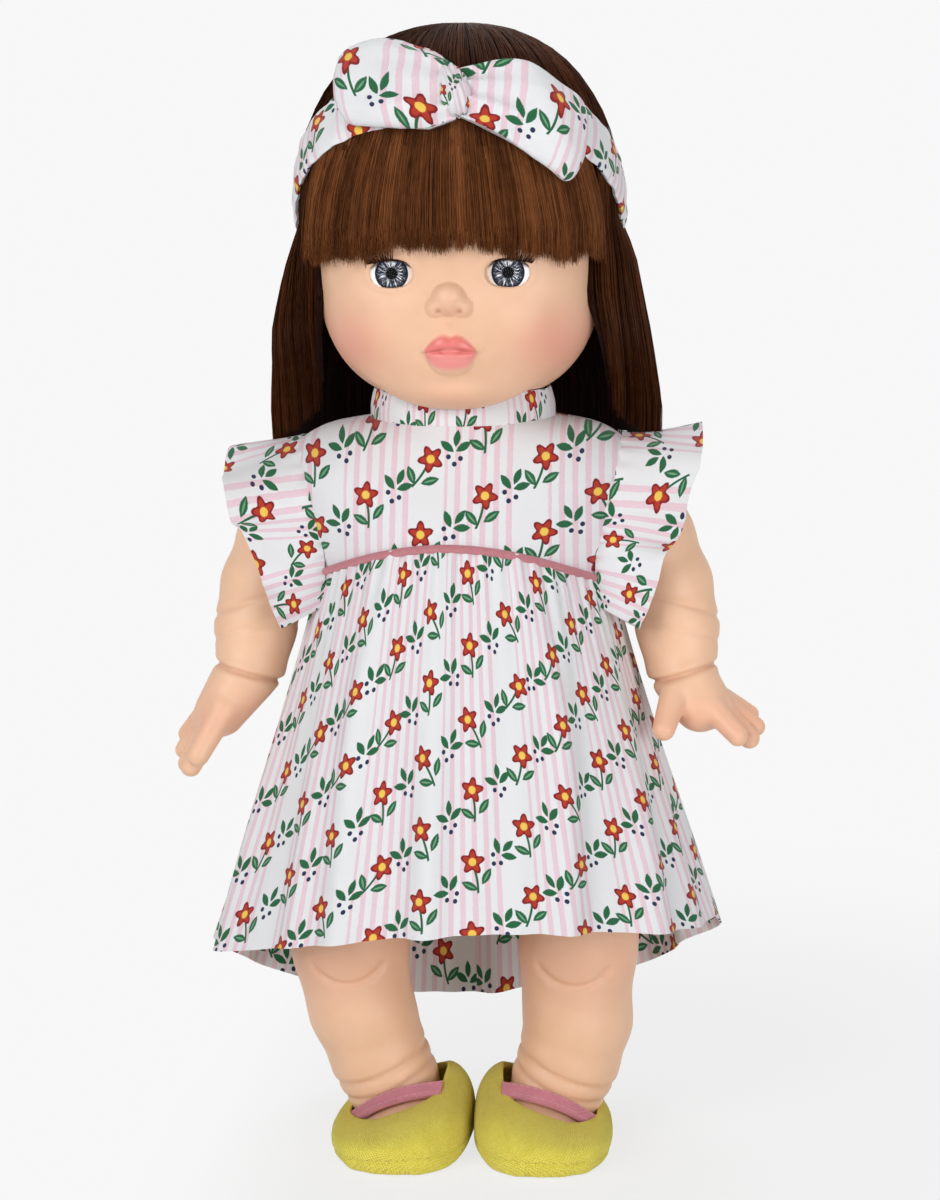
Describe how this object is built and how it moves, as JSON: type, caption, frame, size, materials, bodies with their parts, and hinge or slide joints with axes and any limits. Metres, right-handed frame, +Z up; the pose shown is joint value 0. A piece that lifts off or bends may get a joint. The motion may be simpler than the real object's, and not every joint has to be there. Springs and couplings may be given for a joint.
{
  "type": "vinyl doll",
  "caption": "Toddler doll with vinyl head, body and limbs, sleeping eyes, rooted hair with a knotted headband, printed cotton dress with ruffled armholes and strap shoes.",
  "frame": {"origin": "on the floor, under the middle of the doll's bounding box", "axes": "+Z up, the doll faces -Y, +X to the right of someone facing the doll"},
  "size_m": [0.1762, 0.1122, 0.3397],
  "materials": {
    "vinyl_skin": "satin peach vinyl",
    "eye_white": "gloss white",
    "iris_print": "gloss blue grey with a dark rim",
    "clear_dome": "clear acrylic",
    "lash_hair": "dark brown fibre",
    "weight_steel": "plain steel",
    "eye_case_plastic": "plain moulded",
    "rooted_hair": "glossy dark chestnut fibre",
    "printed_cotton": "white cotton with pale pink stripes and small flowers",
    "piping_cord": "dusty rose cord",
    "shirt_button": "pearl white",
    "mustard_linen": "mustard linen weave",
    "strap_felt": "rose felt",
    "sole_cloth": "mustard cloth over board"
  },
  "bodies": {
    "torso": {"torso": "vinyl_skin", "dress_bodice": "printed_cotton", "dress_collar": "printed_cotton", "dress_skirt": "printed_cotton", "left_ruffle": "printed_cotton", "right_ruffle": "printed_cotton", "waist_piping": "piping_cord", "back_placket": "printed_cotton", "back_button_1": "shirt_button", "back_button_2": "shirt_button"},
    "head": {"head_shell": "vinyl_skin", "hair_crown": "rooted_hair", "hair_fringe": "rooted_hair", "hair_left": "rooted_hair", "hair_right": "rooted_hair", "hair_back": "rooted_hair", "headband": "printed_cotton", "bow_knot": "printed_cotton", "bow_left": "printed_cotton", "bow_right": "printed_cotton", "left_eye_case": "eye_case_plastic", "right_eye_case": "eye_case_plastic"},
    "left_eye": {"left_eyeball": "eye_white", "left_iris": "iris_print", "left_cornea": "clear_dome", "left_lashes": "lash_hair", "left_eye_weight": "weight_steel"},
    "right_eye": {"right_eyeball": "eye_white", "right_iris": "iris_print", "right_cornea": "clear_dome", "right_lashes": "lash_hair", "right_eye_weight": "weight_steel"},
    "left_arm": {"left_arm": "vinyl_skin"},
    "right_arm": {"right_arm": "vinyl_skin"},
    "left_leg": {"left_leg": "vinyl_skin", "left_shoe_upper": "mustard_linen", "left_shoe_strap": "strap_felt", "left_shoe_sole": "sole_cloth"},
    "right_leg": {"right_leg": "vinyl_skin", "right_shoe_upper": "mustard_linen", "right_shoe_strap": "strap_felt", "right_shoe_sole": "sole_cloth"}
  },
  "joints": [
    {"name": "neck_turn", "type": "hinge", "parent": "torso", "child": "head", "pos_m": [0, 0.0019, 0.2335], "axis": [0, 0, 1], "range_deg": [-90, 90], "deforming": ["hair_left", "hair_right", "hair_back"]},
    {"name": "left_shoulder", "type": "hinge", "parent": "torso", "child": "left_arm", "pos_m": [-0.0352, 0.0019, 0.2], "axis": [-1, 0, 0], "range_deg": [-60, 90], "deforming": ["left_ruffle", "dress_skirt"]},
    {"name": "right_shoulder", "type": "hinge", "parent": "torso", "child": "right_arm", "pos_m": [0.0352, 0.0019, 0.2], "axis": [-1, 0, 0], "range_deg": [-60, 90], "deforming": ["right_ruffle", "dress_skirt"]},
    {"name": "left_hip", "type": "hinge", "parent": "torso", "child": "left_leg", "pos_m": [-0.017, 0.0019, 0.118], "axis": [-1, 0, 0], "range_deg": [-25, 90], "deforming": ["dress_skirt"]},
    {"name": "right_hip", "type": "hinge", "parent": "torso", "child": "right_leg", "pos_m": [0.017, 0.0019, 0.118], "axis": [-1, 0, 0], "range_deg": [-25, 90], "deforming": ["dress_skirt"]},
    {"name": "left_eye_close", "type": "hinge", "parent": "head", "child": "left_eye", "pos_m": [-0.0159, -0.03381, 0.269], "axis": [1, 0, 0], "range_deg": [0, 50], "deforming": ["left_lashes"]},
    {"name": "right_eye_close", "type": "hinge", "parent": "head", "child": "right_eye", "pos_m": [0.0159, -0.03381, 0.269], "axis": [1, 0, 0], "range_deg": [0, 50], "deforming": ["right_lashes"]}
  ]
}
